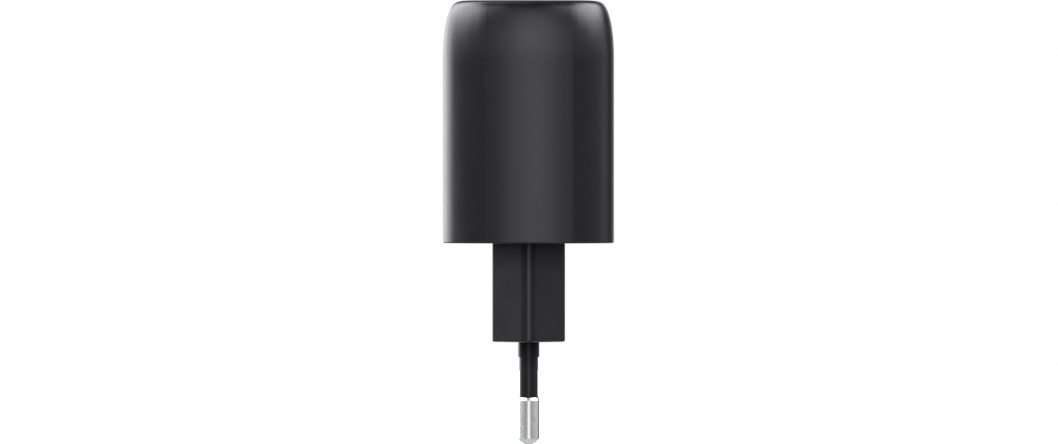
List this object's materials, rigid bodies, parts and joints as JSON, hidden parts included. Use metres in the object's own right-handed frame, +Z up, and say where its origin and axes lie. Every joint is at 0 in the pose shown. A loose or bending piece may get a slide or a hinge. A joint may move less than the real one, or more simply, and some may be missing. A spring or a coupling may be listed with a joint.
{
  "type": "usb wall charger",
  "caption": "Black wall charger with rounded shoulders, a fixed Europlug with sleeved round pins, and a top panel with a USB-A and a USB-C port",
  "frame": {"origin": "middle of the plug's engagement face, between the two pins", "axes": "+Z up the body towards the USB ports with the pins along -Z; X is the body's thickness; Y is its width, and the two pins stand along Y"},
  "size_m": [0.0314, 0.048, 0.0818],
  "materials": {
    "casing": "satin",
    "panel": "gloss",
    "pin_metal": "satin",
    "sleeve": "satin",
    "tag_brass": "satin",
    "copper": "satin",
    "tinned": "satin",
    "shell_steel": "satin",
    "contact_gold": "polished",
    "port_plastic": "satin",
    "circuit_board": "satin",
    "insulating_card": "matte",
    "fuse_ceramic": "satin",
    "wire_jacket": "satin",
    "ferrite": "matte",
    "choke_green": "satin",
    "bobbin_plastic": "satin",
    "winding_tape": "satin",
    "film_capacitor": "satin",
    "disc_capacitor": "satin",
    "can_aluminium": "satin",
    "bung_rubber": "matte",
    "foil_roll": "matte",
    "can_sleeve": "gloss",
    "thermal_pad": "matte",
    "spreader_aluminium": "satin",
    "chip_epoxy": "matte",
    "resistor_ceramic": "satin",
    "chip_capacitor": "matte"
  },
  "bodies": {
    "root": {"housing": "casing", "port_panel": "panel", "base_cover": "casing", "pin_a": "pin_metal", "pin_b": "pin_metal", "pin_a_sleeve": "sleeve", "pin_b_sleeve": "sleeve", "fuse_tag": "tag_brass", "wire_tag": "tag_brass", "fuse_tube": "fuse_ceramic", "fuse_cap_lower": "tinned", "fuse_cap_upper": "tinned", "wire_core": "copper", "wire_jacket": "wire_jacket", "main_board": "circuit_board", "port_board": "circuit_board", "control_board": "circuit_board", "insulation_card": "insulating_card", "usb_a_shell": "shell_steel", "usb_a_contacts": "contact_gold", "usb_a_insulator": "port_plastic", "usb_c_shell": "shell_steel", "usb_c_contacts": "contact_gold", "usb_c_insulator": "port_plastic", "choke_core": "choke_green", "choke_winding_a": "copper", "choke_winding_b": "copper", "x_capacitor": "film_capacitor", "y_capacitor": "disc_capacitor", "component_leads": "tinned", "transformer_core_lower": "ferrite", "transformer_core_upper": "ferrite", "transformer_bobbin": "bobbin_plastic", "transformer_winding": "copper", "transformer_tape": "winding_tape", "transformer_core_tape": "winding_tape", "transformer_pins": "tinned", "thermal_pad": "thermal_pad", "heat_spreader": "spreader_aluminium", "bridge_rectifier": "chip_epoxy", "power_switch": "chip_epoxy", "optocoupler": "chip_epoxy", "sync_rectifier": "chip_epoxy", "chip_legs": "tinned", "pd_controller": "chip_epoxy", "smd_resistors": "resistor_ceramic", "smd_capacitors": "chip_capacitor", "bulk_capacitor_a_can": "can_aluminium", "bulk_capacitor_a_bung": "bung_rubber", "bulk_capacitor_a_roll": "foil_roll", "bulk_capacitor_a_sleeve": "can_sleeve", "output_capacitor_a_can": "can_aluminium", "output_capacitor_a_base": "bobbin_plastic", "bulk_capacitor_b_can": "can_aluminium", "bulk_capacitor_b_bung": "bung_rubber", "bulk_capacitor_b_roll": "foil_roll", "bulk_capacitor_b_sleeve": "can_sleeve", "output_capacitor_b_can": "can_aluminium", "output_capacitor_b_base": "bobbin_plastic"}
  },
  "joints": []
}
